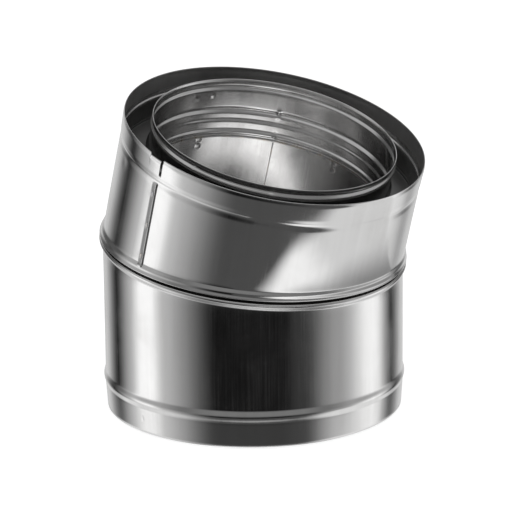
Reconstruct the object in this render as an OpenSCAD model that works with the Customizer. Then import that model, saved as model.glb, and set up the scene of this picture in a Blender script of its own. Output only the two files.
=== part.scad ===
// Insulated flue elbow, twin wall, stainless steel.
// Millimetres, +Z up. Origin: centre of the lower rim of the casing, on the
// plane the part stands on. The lower leg rises along +Z; the upper leg leans
// toward +X by the bend angle. Every sub-part is a separate module and node.

/* [Size] */
// Outside diameter of the flue liner tube
flue_d = 200; // [150:5:300]
// Outside diameter of the casing body
casing_d = 250; // [200:5:400]
// Angle between the two legs
bend = 15; // [5:1:20]
// Height of the lower leg on its centre line
lower_h = 136; // [125:1:300]
// Length of the upper leg on its centre line
upper_h = 103; // [98:1:300]
// Sheet thickness of liner and casing
sheet = 0.6; // [0.4:0.1:1]

/* [Casing] */
// Height of the narrowed skirt under the lower bead
skirt_h = 21.5; // [15:0.5:40]
// How far the lower skirt steps in from the body
skirt_in = 0.5; // [0.2:0.1:1]
// Height of the widened skirt above the upper groove
collar_h = 15.5; // [12:0.5:40]
// How far the upper skirt steps out from the body
collar_out = 0.8; // [0.6:0.1:1.2]
// Width of the lower bead and of the upper groove
bead_w = 10.5; // [6:0.5:14]
// How far the lower bead stands out
bead_out = 1.4; // [0.8:0.1:3]
// How far the upper groove goes in below the body
groove_in = 0.3; // [0.1:0.1:0.6]
// Height of the rib on the upper side of the mitre joint
rib_up = 9.5; // [6:0.5:14]
// Height of the rib on the lower side of the mitre joint
rib_down = 8; // [6:0.5:14]
// How far the mitre ribs stand out
rib_out = 2.9; // [2:0.1:4]

/* [Liner] */
// Radial clearance between a spigot and the socket it enters
socket_gap = 0.4; // [0.2:0.1:1]
// Depth of the plain part of the socket
socket_d = 25; // [20:1:60]
// Length of the socket piece
socket_len = 53; // [48:1:90]
// Length of the spigot piece
spigot_len = 44; // [40:1:80]
// How far the spigot ends above the casing rim
spigot_set = 1; // [0:0.5:10]

/* [Insulation] */
// Depth of the open gap at the upper end
gap_up = 40; // [35:1:60]
// Depth of the open gap at the lower end
gap_down = 34; // [34:1:60]
// Angle one bracket spans
bracket_a = 12; // [6:1:20]
// Length of a bracket foot along the liner
bracket_l = 24; // [16:1:30]
// Sheet thickness of brackets and end rings
ring_t = 0.8; // [0.5:0.1:1.5]

/* [Seams] */
// Direction of the casing seam on the upper leg
seam_up = -93.2; // [-180:0.1:180]
// Direction of the casing seam on the lower leg
seam_down = 86.8; // [-180:0.1:180]
// Width of the casing lap seam
lap_w = 5; // [3:0.5:12]
// Direction of the liner seam
liner_seam = 129.3; // [-180:0.1:180]
// Direction of the first bracket
bracket_0 = 24; // [-180:1:180]
// Radius of a spot weld
spot_r = 2.4; // [1.5:0.1:4]
// Height of a spot weld
spot_h = 0.35; // [0.2:0.05:1]

/* [Hidden] */
$fn = 96;
// Number of brackets round each end
brackets = 5;
// Radii of casing, liner and socket
cr = casing_d / 2;
ci = cr - sheet;
lr = flue_d / 2;
li = lr - sheet;
sr = lr + socket_gap;
so = sr + sheet;
// How far the lap stands out of the casing, and how far round from the
// seam edge its middle lies, in degrees
lap_t = 0.4;
lap_turn = lap_w / cr / 2 * 180 / PI;
// Level of the socket foot and of the two end rings
socket_z = upper_h - socket_len;
spigot_top = spigot_set + spigot_len;
ring_up = upper_h - gap_up;
ring_down = gap_down;
big = 4 * casing_d;

// Places its children in the frame of the upper leg
module upper() {
  translate([0, 0, lower_h]) rotate([0, bend, 0]) children();
}

// Places its children in the frame of the mitre plane
module mitre() {
  translate([0, 0, lower_h]) rotate([0, bend / 2, 0]) children();
}

// Everything above the mitre plane, and everything below it
module above() {
  mitre() translate([-big / 2, -big / 2, 0]) cube([big, big, big]);
}

module below() {
  mitre() translate([-big / 2, -big / 2, -big]) cube([big, big, big]);
}

// Direction of bracket i
function bracket_dir(i) = bracket_0 + 360 / brackets * (i - 1);

// Outline of a smooth bead from level z to z + w, radius r to r + h
function bead(r, z, w, h, n = 8) =
  [for (i = [0:n]) [r + h * (1 - cos(360 * i / n)) / 2, z + w * i / n]];

// Eased stretch of outline from radius r0, level z0 to radius r1, level z1
function ease(r0, z0, r1, z1, n = 4) =
  [for (i = [0:n]) [r0 + (r1 - r0) * (1 - cos(180 * i / n)) / 2,
    z0 + (z1 - z0) * i / n]];

// Inner copy of a radius profile, one sheet thickness in
function inset(p) =
  [for (i = [len(p) - 1:-1:0]) [p[i][0] - sheet, p[i][1]]];

// Turned sheet shell from its outer profile
module shell(p) {
  rotate_extrude() polygon(concat(p, inset(p)));
}

// Sheet strip on a cylinder, centred on direction a
module strip(r0, r1, z0, z1, a, w) {
  span = w / r0 * 180 / PI;
  rotate([0, 0, a - span / 2])
    rotate_extrude(angle = span)
      translate([r0, z0]) square([r1 - r0, z1 - z0]);
}

// Low round spot weld on a wall, facing direction a, from radius r outward
module spot(r, z, a, r_in, r_out) {
  rotate([0, 0, a]) translate([r, 0, z]) rotate([0, 90, 0])
    cylinder(r1 = r_in, r2 = r_out, h = spot_h);
}

// Outer profiles of the two casing legs
function casing_low() = let(crest = skirt_h + bead_w * 0.43) concat(
  [[cr - skirt_in, 0]],
  ease(cr - skirt_in, skirt_h - 0.6, cr + bead_out, crest - 0.1),
  ease(cr + bead_out, crest + 0.1, cr, skirt_h + bead_w),
  [[cr, lower_h + casing_d / 4]]);

function casing_up() = let(z = upper_h - collar_h, low = z - bead_w * 0.5) concat(
  [[cr, -casing_d / 4]],
  ease(cr, z - bead_w, cr - groove_in, low - 0.1),
  ease(cr - groove_in, low + 0.1, cr + collar_out, z),
  [[cr + collar_out, upper_h - 3.5], [cr + collar_out - 0.3, upper_h]]);

// Slab between two planes parallel to the mitre plane, n0 to n1 above it
module slab(n0, n1) mitre()
  translate([-big / 2, -big / 2, n0]) cube([big, big, n1 - n0]);

module tube(r0, r1, z0, z1) rotate_extrude()
  translate([r0, z0]) square([r1 - r0, z1 - z0]);

// Mitre ribs as stacks of bands, each step [start, end, height] counted
// away from the mitre plane
module rib_lower(steps) for (s = steps) intersection() {
  tube(ci + sheet / 2, cr + s[2], 0, 2 * lower_h);
  slab(-s[1], -s[0]);
}

module rib_upper(steps) for (s = steps) intersection() {
  upper() tube(ci + sheet / 2, cr + s[2], -lower_h, lower_h);
  slab(s[0], s[1]);
}

module casing_lower() color("#c9cbcd") {
  intersection() {
    union() {
      shell(casing_low());
      strip(cr - sheet / 2, cr + lap_t, skirt_h + bead_w, lower_h + casing_d / 4,
        seam_down - lap_turn, lap_w);
    }
    below();
  }
  rib_lower([[0, rib_down, rib_out * 0.35], [0, rib_down - 1, rib_out * 0.7],
    [0.8, rib_down - 2.2, rib_out * 0.92], [1.6, rib_down - 3.4, rib_out]]);
}

module casing_upper() color("#c9cbcd") {
  intersection() {
    upper() {
      shell(casing_up());
      strip(cr - sheet / 2, cr + lap_t, -casing_d / 4,
        upper_h - collar_h - bead_w, seam_up - lap_turn, lap_w);
      strip(cr + collar_out - sheet / 2, cr + collar_out + lap_t,
        upper_h - collar_h + 0.8, upper_h - 3.5, seam_up - lap_turn, lap_w);
    }
    above();
  }
  rib_upper([[0, rib_up, rib_out * 0.25], [0, rib_up - 1.5, rib_out * 0.5],
    [0, 3, rib_out * 0.75], [0.4, 2.2, rib_out]]);
}

module liner_lower() color("#d4d6d8") intersection() {
  tube(li, lr, spigot_top, lower_h + casing_d / 4);
  below();
}

module liner_upper() color("#d4d6d8") intersection() {
  upper() tube(li, lr, -casing_d / 4, socket_z);
  above();
}

module liner_spigot() color("#d4d6d8") shell(concat(
  [[lr - 0.5, spigot_set], [lr, spigot_set + 3]],
  bead(lr, spigot_set + 24, 8, -1.2),
  [[lr, spigot_top]]));

module liner_socket() color("#d4d6d8") upper() shell(concat(
  [[lr, socket_z]],
  bead(lr, socket_z + 1.5, 6, -1.6),
  [[lr, ring_up + 0.5], [so, ring_up + 3.5]],
  bead(so, upper_h - socket_d - 7, 7, 2),
  bead(so, upper_h - 10.5, 6, 0.7),
  [[so, upper_h - 3], [so + 0.8, upper_h]]));

// Wool between liner and casing, open where the brackets stand
module wool(z0, z1) tube(lr, ci, z0, z1);

module pockets(z0, z1) for (i = [1:brackets])
  rotate([0, 0, bracket_dir(i) - bracket_a / 2 - 1])
    rotate_extrude(angle = bracket_a + 2)
      translate([lr - 1, z0]) square([ci - lr + 2, z1 - z0]);

module insulation_lower() color("#c8b46a") difference() {
  intersection() {
    wool(ring_down + ring_t, lower_h + casing_d / 4);
    below();
  }
  pockets(0, ring_down + ring_t + bracket_l + 2);
  intersection() {
    tube(li, lr + 2, 0, 2 * lower_h);
    slab(-3.5, 1);
  }
}

module insulation_upper() color("#c8b46a") difference() {
  intersection() {
    upper() wool(-casing_d / 4, ring_up - ring_t);
    above();
  }
  upper() pockets(ring_up - ring_t - bracket_l - 2, upper_h);
}

// Sheet ring closing the wool, radius ri to ro, with an outer lip of height l
module end_ring(ri, ro, l) rotate_extrude() polygon([
  [ri, 0], [ro, 0], [ro, l], [ro - ring_t, l], [ro - ring_t, ring_t],
  [ri, ring_t]]);

module end_ring_lower() color("#b9bbbd")
  translate([0, 0, ring_down + ring_t]) mirror([0, 0, 1])
    end_ring(lr, ci - skirt_in, 4);

module end_ring_upper() color("#b9bbbd")
  upper() translate([0, 0, ring_up - ring_t]) end_ring(lr, ci, 3);

// Z bracket from liner to casing; level 0 is the face under the end ring
module bracket(i) rotate([0, 0, bracket_dir(i) - bracket_a / 2])
  rotate_extrude(angle = bracket_a) polygon([
    [lr, 0], [ci, 0], [ci, -bracket_l / 2], [ci - ring_t, -bracket_l / 2],
    [ci - ring_t, -ring_t], [lr + ring_t, -ring_t],
    [lr + ring_t, -bracket_l], [lr, -bracket_l]]);

module bracket_low(i) color("#a9acaf")
  translate([0, 0, ring_down + ring_t]) mirror([0, 0, 1]) bracket(i);

module bracket_up(i) color("#a9acaf")
  upper() translate([0, 0, ring_up - ring_t]) bracket(i);

module bracket_lower_1() bracket_low(1);
module bracket_lower_2() bracket_low(2);
module bracket_lower_3() bracket_low(3);
module bracket_lower_4() bracket_low(4);
module bracket_lower_5() bracket_low(5);
module bracket_upper_1() bracket_up(1);
module bracket_upper_2() bracket_up(2);
module bracket_upper_3() bracket_up(3);
module bracket_upper_4() bracket_up(4);
module bracket_upper_5() bracket_up(5);

// Spot welds inside the liner, two for each bracket, from level z; their
// flat backs touch the wall with their edges
module bracket_spots(z, dir) {
  back = sqrt(li * li - spot_r * spot_r);
  for (i = [1:brackets], k = [0, 1])
    spot(back - spot_h, z + dir * k * 2.6 * spot_r, bracket_dir(i),
      spot_r - 0.5, spot_r);
}

module bracket_welds_lower() color("#8e9194")
  bracket_spots(ring_down + ring_t + bracket_l - spot_r - 1, -1);

module bracket_welds_upper() color("#8e9194")
  upper() bracket_spots(ring_up - ring_t - bracket_l + spot_r + 1, 1);

// Raised spot welds along a casing lap, n of them from level z0 to z1
module lap_spots(a, z0, z1, n) for (i = [0:n - 1])
  spot(cr + lap_t, z0 + (z1 - z0) * i / (n - 1), a - lap_turn,
    spot_r, spot_r - 0.5);

module casing_welds_lower() color("#8e9194")
  lap_spots(seam_down, 42, lower_h - 18, 4);

module casing_welds_upper() color("#8e9194")
  upper() lap_spots(seam_up, 14, 70, 3);

// Fillet of weld round the mitre of the liner, on the lower leg
module liner_mitre_weld() color("#8e9194") intersection() {
  tube(lr, lr + 1.5, 0, 2 * lower_h);
  slab(-3, 0);
}

// Ring of weld inside the liner at level z
module inner_ring(z) rotate_extrude() polygon([
  [li, z - 1.2], [li, z + 1.2], [li - 0.3, z + 0.6], [li - 0.3, z - 0.6]]);

module spigot_weld() color("#8e9194") inner_ring(spigot_top);

module socket_weld() color("#8e9194") upper() inner_ring(socket_z);

module liner_seam_lower() color("#8e9194") intersection() {
  strip(li - 0.3, li, spigot_top + 1.2, lower_h + casing_d / 4,
    liner_seam + 180, 1.8);
  below();
}

module liner_seam_upper() color("#8e9194") intersection() {
  upper() strip(li - 0.3, li, -casing_d / 4, socket_z - 1.2, liner_seam, 1.8);
  above();
}

casing_lower();
casing_upper();
liner_lower();
liner_upper();
liner_spigot();
liner_socket();
insulation_lower();
insulation_upper();
end_ring_lower();
end_ring_upper();
bracket_lower_1();
bracket_lower_2();
bracket_lower_3();
bracket_lower_4();
bracket_lower_5();
bracket_upper_1();
bracket_upper_2();
bracket_upper_3();
bracket_upper_4();
bracket_upper_5();
bracket_welds_lower();
bracket_welds_upper();
casing_welds_lower();
casing_welds_upper();
liner_mitre_weld();
spigot_weld();
socket_weld();
liner_seam_lower();
liner_seam_upper();
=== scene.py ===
from math import cos, degrees, pi, radians, sin, sqrt, tan

import bpy
import numpy as np
from mathutils import Matrix, Vector


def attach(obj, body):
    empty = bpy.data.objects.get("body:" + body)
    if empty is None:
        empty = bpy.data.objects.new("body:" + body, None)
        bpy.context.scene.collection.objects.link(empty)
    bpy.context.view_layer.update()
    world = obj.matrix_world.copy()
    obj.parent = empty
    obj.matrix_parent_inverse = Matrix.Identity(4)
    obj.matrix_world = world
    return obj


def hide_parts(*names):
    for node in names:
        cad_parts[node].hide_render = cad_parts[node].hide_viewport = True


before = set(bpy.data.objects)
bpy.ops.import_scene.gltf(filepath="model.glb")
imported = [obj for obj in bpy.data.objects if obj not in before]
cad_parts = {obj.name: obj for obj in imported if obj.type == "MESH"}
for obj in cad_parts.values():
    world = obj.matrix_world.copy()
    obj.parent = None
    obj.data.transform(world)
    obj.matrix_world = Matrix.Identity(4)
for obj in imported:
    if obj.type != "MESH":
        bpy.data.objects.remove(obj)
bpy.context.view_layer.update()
scene = bpy.context.scene

# ------------------------------ dimensions
# Millimetres and degrees, as in the CAD source. Everything below is worked
# out in millimetres and turned to metres when a mesh is made.
MM = 0.001
BEND = 15.0
LOWER_H = 136.0
UPPER_H = 103.0
SHEET = 0.6
CASING_R = 125.0
LINER_R = 100.0
SOCKET_R = LINER_R + 0.4 + SHEET
SKIRT_H, SKIRT_IN = 21.5, 0.5
COLLAR_H, COLLAR_OUT = 15.5, 0.8
BEAD_W, BEAD_OUT = 10.5, 1.4
GROOVE_IN = 0.3
RIB_UP, RIB_DOWN, RIB_OUT = 9.5, 8.0, 2.9
SPIGOT_SET, SPIGOT_LEN = 1.0, 44.0
SOCKET_LEN, SOCKET_D = 53.0, 25.0
SPIGOT_TOP = SPIGOT_SET + SPIGOT_LEN
SOCKET_Z = UPPER_H - SOCKET_LEN
RING_UP = UPPER_H - 40.0
RING_DOWN = 34.0
RING_T = 0.8
BRACKET_A, BRACKET_L = 12.0, 24.0
BRACKET_DIRS = [24.0 + 72.0 * i for i in range(5)]
SEAM_UP, SEAM_DOWN, LAP_W = -93.2, 86.8, 5.0
LAP_DEG = degrees(LAP_W / CASING_R)
SEAM_DIP = degrees(1.0 / CASING_R)
LINER_SEAM = 129.3
SPOT_R = 2.4
SPOT_PITCH = 2.6 * SPOT_R
MITRE_SLOPE = tan(radians(BEND / 2))
LINER_SEAM_DOWN = LINER_SEAM + 180
LAP_REACH = LAP_DEG + 0.35
LAP_SPOTS_DOWN, LAP_SPOTS_UP = np.linspace(42, LOWER_H - 18, 4), (14, 42, 70)
SKIRT_R, SKIRT_EDGE = CASING_R - SKIRT_IN, SKIRT_H - 1.4
COLLAR_R, COLLAR_Z = CASING_R + COLLAR_OUT, UPPER_H - COLLAR_H
CREST_R, CREST_Z = CASING_R + BEAD_OUT, SKIRT_H + 0.43 * BEAD_W
BEAD_TOP = SKIRT_H + BEAD_W
Z_GROOVE = COLLAR_Z - BEAD_W
GROOVE_LOW = Z_GROOVE + 0.5 * BEAD_W

# Shapes that the CAD does not have, or has smaller. They were set
# against the light and dark bands of the photo and are not measured: the
# tapers of skirt and collar, the lip above the groove, the height of the
# casing's lap and the ridge (level, height, reach) inside the groove.
SKIRT_LEAN, COLLAR_LEAN = 0.65, 0.42
LIP_R, LIP_Z = CASING_R + 0.08, GROOVE_LOW + 2.6
LAP_LIFT, LAP_SINK = 1.1, 0.35
INNER_RIDGE = (GROOVE_LOW + 0.6, 0.9, 2.4)
# Guesses at tone: how far the painted shade (a dark colour) reaches from the
# mitre and over what width it fades, how strong the painted shade is in the gap
# below the ridge, and how much rougher the inner skin is than the outer one.
MITRE_SHADE, SHADE_FADE, GAP_SHADE = 1.3, 0.3, 0.7
INNER_DULL = 0.26

# ------------------------------ the two legs

def lower_leg(p):
    return p


def upper_leg(p):
    c, s = cos(radians(BEND)), sin(radians(BEND))
    x, y, z = p[..., 0], p[..., 1], p[..., 2]
    return np.stack([c * x + s * z, y, LOWER_H - s * x + c * z], axis=-1)


def step(x, a, b):
    """0 below a, 1 above b, smooth between."""
    t = np.clip((x - a) / (b - a), 0.0, 1.0)
    return t * t * (3 - 2 * t)


def turn(a, b):
    """Signed angle from b to a in degrees, -180 to 180."""
    return (np.asarray(a) - b + 180.0) % 360.0 - 180.0


# ------------------------------ meshes
def make_piece(name, verts_mm, faces, leg, material, node_names,
               uv=None, girth=1.0, marks=None):
    """A mesh object from millimetre points in a leg's frame, riding on root.
    girth is the length round in uv units; marks are values for each point."""
    mesh = bpy.data.meshes.new(name)
    pts = leg(np.asarray(verts_mm, dtype=float)) * MM
    mesh.from_pydata([tuple(p) for p in pts], [], [tuple(f) for f in faces])
    mesh.validate()
    mesh.polygons.foreach_set("use_smooth", [True] * len(mesh.polygons))
    if uv is not None:
        layer = mesh.uv_layers.new(name="sheet")
        loops = np.empty(len(mesh.loops), dtype=np.int64)
        mesh.loops.foreach_get("vertex_index", loops)
        flat = np.asarray(uv)[loops]
        # the wrap-round column keeps its strip continuous
        starts = np.empty(len(mesh.polygons), dtype=np.int64)
        totals = np.empty(len(mesh.polygons), dtype=np.int64)
        mesh.polygons.foreach_get("loop_start", starts)
        mesh.polygons.foreach_get("loop_total", totals)
        face_of = np.repeat(np.arange(len(starts)), totals)
        high = np.full(len(starts), -np.inf)
        np.maximum.at(high, face_of, flat[:, 0])
        behind = flat[:, 0] < high[face_of] - girth / 2
        flat[behind, 0] += girth
        layer.data.foreach_set("uv", flat.ravel())
    for mark, values in (marks or {}).items():
        attribute = mesh.attributes.new(mark, "FLOAT", "POINT")
        attribute.data.foreach_set("value", np.asarray(values, dtype=np.float32))
    obj = bpy.data.objects.new(name, mesh)
    scene.collection.objects.link(obj)
    mesh.materials.append(material)
    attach(obj, "root")
    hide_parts(*node_names)
    return obj


def columns(start, extra=(), count=300):
    """Directions round a shell in degrees from start, with fine places."""
    base = np.linspace(0, 360, count, endpoint=False)
    fine = [turn(e, start) % 360 for e in extra]
    angles = np.unique(np.round(np.concatenate([base, fine]), 4))
    keep = [angles[0]]
    must = set(np.round(np.asarray(fine), 4))
    for a in angles[1:]:
        if a in must or a - keep[-1] > 0.16:
            keep.append(a)
    return start + np.asarray(keep)


def around(centre, reach, n):
    return [centre + reach * t for t in np.linspace(-1, 1, n)]


def bead(r, z, w, h, n=18):
    """Rows of a smooth bead, height h, from level z to z + w."""
    return [(r + h * (1 - cos(2 * pi * i / n)) / 2, z + w * i / n)
            for i in range(n + 1)]


def run(r0, z0, r1, z1, n):
    """Rows of a straight stretch, without its last row."""
    return [(r0 + (r1 - r0) * i / n, z0 + (z1 - z0) * i / n) for i in range(n)]


def ease(r0, z0, r1, z1, n):
    """Rows of an eased stretch, without its last row."""
    return [(r0 + (r1 - r0) * (1 - cos(pi * i / n)) / 2, z0 + (z1 - z0) * i / n)
            for i in range(n)]


def share(flat, full):
    """How a leg's levels take up the mitre's slope: none at the level flat,
    all of it at the level full."""
    return lambda z: np.clip((z - flat) / (full - flat), 0, 1)


def slope_sign(leg):
    return 1.0 if leg is upper_leg else -1.0


def polar_points(radii, az, levels):
    """Points from rows and columns of radius, direction and level."""
    a = np.radians(az)
    xyz = np.broadcast_arrays(radii * np.cos(a), radii * np.sin(a), levels)
    return np.stack(xyz, axis=-1).reshape(-1, 3)


def ring_faces(k, n, hole=(0, 0, 0, 0)):
    """Quads of k rows and n columns closed both ways, less a hole given as
    (first row, end row, first column, end column)."""
    i0, i1, j0, j1 = hole
    return [(i * n + j, i * n + (j + 1) % n,
             (i + 1) % k * n + (j + 1) % n, (i + 1) % k * n + j)
            for i in range(k) for j in range(n)
            if not (i0 <= i < i1 and j0 <= j < j1)]


def shell(name, rows, cols, leg, material, node, follow=None,
          thick=SHEET, dents=(), slot_cut=None, rim=0.22, cap=(True, True),
          dull_above=np.inf, painted_shade_at=None, ridge=None):
    """Turned sheet shell: outer rows (radius, level), an inner skin one sheet
    thickness in, and rims rounded at the foot and top where cap says so.
    follow(z) is the share of the mitre slope that a level takes, and dents
    move points by (radial, axial). slot_cut (level, first and last direction)
    is an open slot from that level to the top. The inner skin is duller above
    the level dull_above, both skins get painted shade, a near-black colour,
    round the level that follows dull_above in the arguments, and ridge (level,
    height, reach) swells the inner skin, with painted shade below it."""
    rows = np.asarray(rows, dtype=float)
    cols = np.asarray(cols, dtype=float)
    m, n = len(rows), len(cols)
    r, z = rows[:, 0], rows[:, 1]
    slope = np.gradient(r) / np.maximum(np.abs(np.gradient(z)), 1e-6)
    depth = np.minimum(thick * np.sqrt(1 + slope ** 2), thick * 1.6)
    if ridge is not None:
        level, height, reach = ridge
        near = np.clip(np.abs(z - level) / reach, 0, 1)
        depth = depth + height * (1 + np.cos(pi * near)) / 2
    # closed loop of rows: outer upward, rim, inner downward, rim
    loop_r, loop_z = list(r), list(z)
    top = [(0.25, 0.6), (0.5, 1.0), (0.75, 0.6)]
    for share, lift in top:
        loop_r.append(r[-1] - thick * share)
        loop_z.append(z[-1] + rim * lift * cap[1])
    for i in range(m - 1, -1, -1):
        loop_r.append(r[i] - depth[i])
        loop_z.append(z[i])
    for share, lift in reversed(top):
        loop_r.append(r[0] - thick * share)
        loop_z.append(z[0] - rim * lift * cap[0])
    loop_r, loop_z = np.array(loop_r), np.array(loop_z)
    k, inner_start = len(loop_r), m + len(top)
    az = np.repeat(cols[None, :], k, axis=0)
    R = np.repeat(loop_r[:, None], n, axis=1)
    Z = np.repeat(loop_z[:, None], n, axis=1)
    design = Z.copy()
    if follow is not None:
        Z = Z + (follow(design) * slope_sign(leg) * MITRE_SLOPE * R
                 * np.cos(np.radians(az)))
    for dent in dents:
        dr, dz = dent(az, Z, design)
        R, Z = R + dr, Z + dz
    base_r = float(np.median(r))
    uv = np.stack([np.radians(az - cols[0]) * base_r, design], axis=-1)
    uv = uv.reshape(-1, 2) * MM
    rims = np.minimum(np.abs(design - z.min()), np.abs(design - z.max()))
    edge = np.clip(1 - rims / 1.5, 0, 1).reshape(-1)
    # dullness and painted shade: the inner rows come after the outer ones and the
    # rim
    skin = np.zeros((k, n))
    skin[inner_start:inner_start + m] = 1.0
    inner = skin * (design > dull_above)
    painted_shade = np.zeros((k, n))
    if painted_shade_at is not None:
        away = np.abs(design - painted_shade_at)
        painted_shade = np.clip((MITRE_SHADE - away) / SHADE_FADE, 0, 1)
    if ridge is not None:
        painted_shade = np.maximum(painted_shade, GAP_SHADE * skin * (design < ridge[0] - 2))
    if slot_cut is None:
        faces = ring_faces(k, n)
    else:
        z_cut, a0, a1 = slot_cut
        inside = [j for j in range(n)
                  if a0 - 1e-3 <= turn(cols[j], 0) <= a1 + 1e-3]
        j0, j1 = inside[0], inside[-1]
        i0 = int(np.argmin(np.abs(z - z_cut)))
        # pairs of an outer row and the inner row behind it, up to the rim
        ladder = [(i, inner_start + m - 1 - i) for i in range(i0, m)]
        faces = ring_faces(k, n, (*ladder[0], j0, j1))
        # the slot's two sides, then its floor
        for j, flip in ((j0, True), (j1, False)):
            for (o1, n1), (o2, n2) in zip(ladder[:-1], ladder[1:]):
                quad = (o1 * n + j, o2 * n + j, n2 * n + j, n1 * n + j)
                faces.append(quad[::-1] if flip else quad)
            o, q = ladder[-1]
            end = tuple(t * n + j for t in range(o, q + 1))
            faces.append(end[::-1] if flip else end)
        o, q = ladder[0]
        for j in range(j0, j1):
            faces.append((o * n + j, o * n + j + 1, q * n + j + 1, q * n + j))
    return make_piece(name, polar_points(R, az, Z), faces, leg, material,
                      [node], uv=uv, girth=2 * pi * base_r * MM,
                      marks={"edge_wear": edge, "inner_skin": inner.reshape(-1),
                             "painted_shade": painted_shade.reshape(-1)})


# ------------------------------ materials
class Nodes:
    """Short way to build a node tree."""

    def __init__(self, tree):
        self.tree = tree
        tree.nodes.clear()

    def add(self, kind, inputs=(), **settings):
        node = self.tree.nodes.new(kind)
        for key, value in settings.items():
            setattr(node, key, value)
        for key, value in dict(inputs).items():
            socket = node.inputs[key]
            if isinstance(value, bpy.types.NodeSocket):
                self.tree.links.new(value, socket)
            else:
                socket.default_value = value
        return node

    def finish(self, shader, kind="ShaderNodeOutputMaterial"):
        """Joins shader to the tree's output."""
        self.add(kind, {"Surface": shader.outputs[0]})

    def mark(self, name):
        """A value written on the mesh's points by shell()."""
        return self.add("ShaderNodeAttribute", attribute_name=name,
                        attribute_type="GEOMETRY").outputs["Fac"]

    def math(self, op, a, b=0.0, c=0.0, clamp=False):
        return self.add("ShaderNodeMath", {0: a, 1: b, 2: c}, operation=op,
                        use_clamp=clamp).outputs[0]

    def length(self, x, y):
        squares = [self.math("MULTIPLY", v, v) for v in (x, y)]
        return self.math("SQRT", self.math("ADD", *squares))

    def scaled(self, vector, scale):
        return self.add("ShaderNodeVectorMath", {0: vector, 1: scale},
                        operation="MULTIPLY").outputs[0]

    def noise(self, vector, scale, detail=3.0, rough=0.55, distortion=0.0):
        return self.add("ShaderNodeTexNoise", {
            "Vector": vector, "Scale": scale, "Detail": detail,
            "Roughness": rough, "Distortion": distortion}).outputs["Fac"]

    def remap(self, value, a, b, c=0.0, d=1.0):
        return self.add("ShaderNodeMapRange", {
            "Value": value, "From Min": a, "From Max": b, "To Min": c,
            "To Max": d}).outputs["Result"]

    def bump(self, height, strength, distance):
        return self.add("ShaderNodeBump", {
            "Height": height, "Strength": strength,
            "Distance": distance}).outputs["Normal"]

    def mix(self, fac, a, b):
        node = self.add("ShaderNodeMix", data_type="RGBA")
        for index, value in ((0, fac), (6, a), (7, b)):
            if isinstance(value, bpy.types.NodeSocket):
                self.tree.links.new(value, node.inputs[index])
            else:
                node.inputs[index].default_value = value
        return node.outputs[2]


def grey(v, tint=0.0):
    """Linear grey, a little warm for a tint above 0."""
    return (v * (1 + tint), v, v * (1 - tint), 1.0)


def new_material(name):
    material = bpy.data.materials.new(name)
    material.use_nodes = True
    return material, Nodes(material.node_tree)


def steel(name, tone, rough, grain=0.05, grain_scale=900.0, smudge=0.06,
          scratches=0.5, bump=0.006, tint=0.004, flat_uv=True):
    """Rolled stainless sheet: fine grain along the sheet, handling marks,
    soft stains, hairline scratches and brighter sheared edges."""
    material, g = new_material(name)
    coord = g.add("ShaderNodeTexCoord")
    surface = coord.outputs["UV" if flat_uv else "Object"]
    solid = coord.outputs["Object"]
    streak_scale = (1.0, 0.012, 1.0) if flat_uv else (1.0, 1.0, 0.012)
    streak = g.noise(g.scaled(surface, streak_scale), grain_scale, 2.0, 0.6)
    broad = g.noise(g.scaled(surface, (1.0, 0.05, 1.0)), grain_scale / 12, 2.0)
    stain = g.noise(solid, 16.0, 4.0, 0.6, 0.6)
    marks = g.noise(solid, 90.0, 5.0, 0.7, 1.2)
    hair = g.add("ShaderNodeTexVoronoi", {
        "Vector": g.scaled(surface, (1.0, 0.08, 1.0)), "Scale": 240.0,
        "Randomness": 1.0}, feature="DISTANCE_TO_EDGE").outputs["Distance"]
    line = g.remap(hair, 0.0, 0.012, 1.0, 0.0)
    line_on = g.math("GREATER_THAN", marks, 0.62)
    scratch = g.math("MULTIPLY", line, line_on, clamp=True)
    scratch = g.math("MULTIPLY", scratch, scratches)
    wear = g.mark("edge_wear")
    # roughness
    value = g.math("ADD", g.remap(streak, 0.3, 0.7, -grain, grain),
                   g.remap(stain, 0.35, 0.65, -smudge / 2, smudge))
    value = g.math("ADD", value, g.math("MULTIPLY", scratch, 0.12))
    value = g.math("ADD", value, g.math("MULTIPLY", wear, 0.10))
    value = g.math("ADD", value, g.remap(marks, 0.55, 0.75, 0.0, 0.04))
    value = g.math("MULTIPLY_ADD", g.mark("inner_skin"), INNER_DULL, value)
    roughness = g.math("ADD", value, rough, clamp=True)
    # colour
    dull = g.mix(g.remap(stain, 0.4, 0.75),
                 grey(tone, tint), grey(tone * 0.92, tint * 2.5))
    fine = g.mix(g.remap(broad, 0.35, 0.65), dull,
                 grey(tone * 1.03, tint))
    colour = g.mix(g.math("MULTIPLY", wear, 0.5), fine,
                   grey(min(1.0, tone * 1.18)))
    # painted shade: where the mesh marks it, the colour goes near black and
    # rougher
    shade_paint = g.math("MULTIPLY", g.mark("painted_shade"), g.remap(stain, 0.2, 0.6, 0.8, 1.0))
    colour = g.mix(shade_paint, colour, grey(0.04, 0.05))
    roughness = g.math("MULTIPLY_ADD", shade_paint, 0.3, roughness, clamp=True)
    # relief
    height = g.math("ADD", g.math("MULTIPLY", streak, 0.35),
                    g.math("MULTIPLY", marks, 0.35))
    height = g.math("SUBTRACT", height, g.math("MULTIPLY", scratch, 0.8))
    shader = g.add("ShaderNodeBsdfPrincipled", {
        "Base Color": colour, "Metallic": 1.0, "Roughness": roughness,
        "Normal": g.bump(height, bump * 10, 0.00002)})
    g.finish(shader)
    return material


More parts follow.
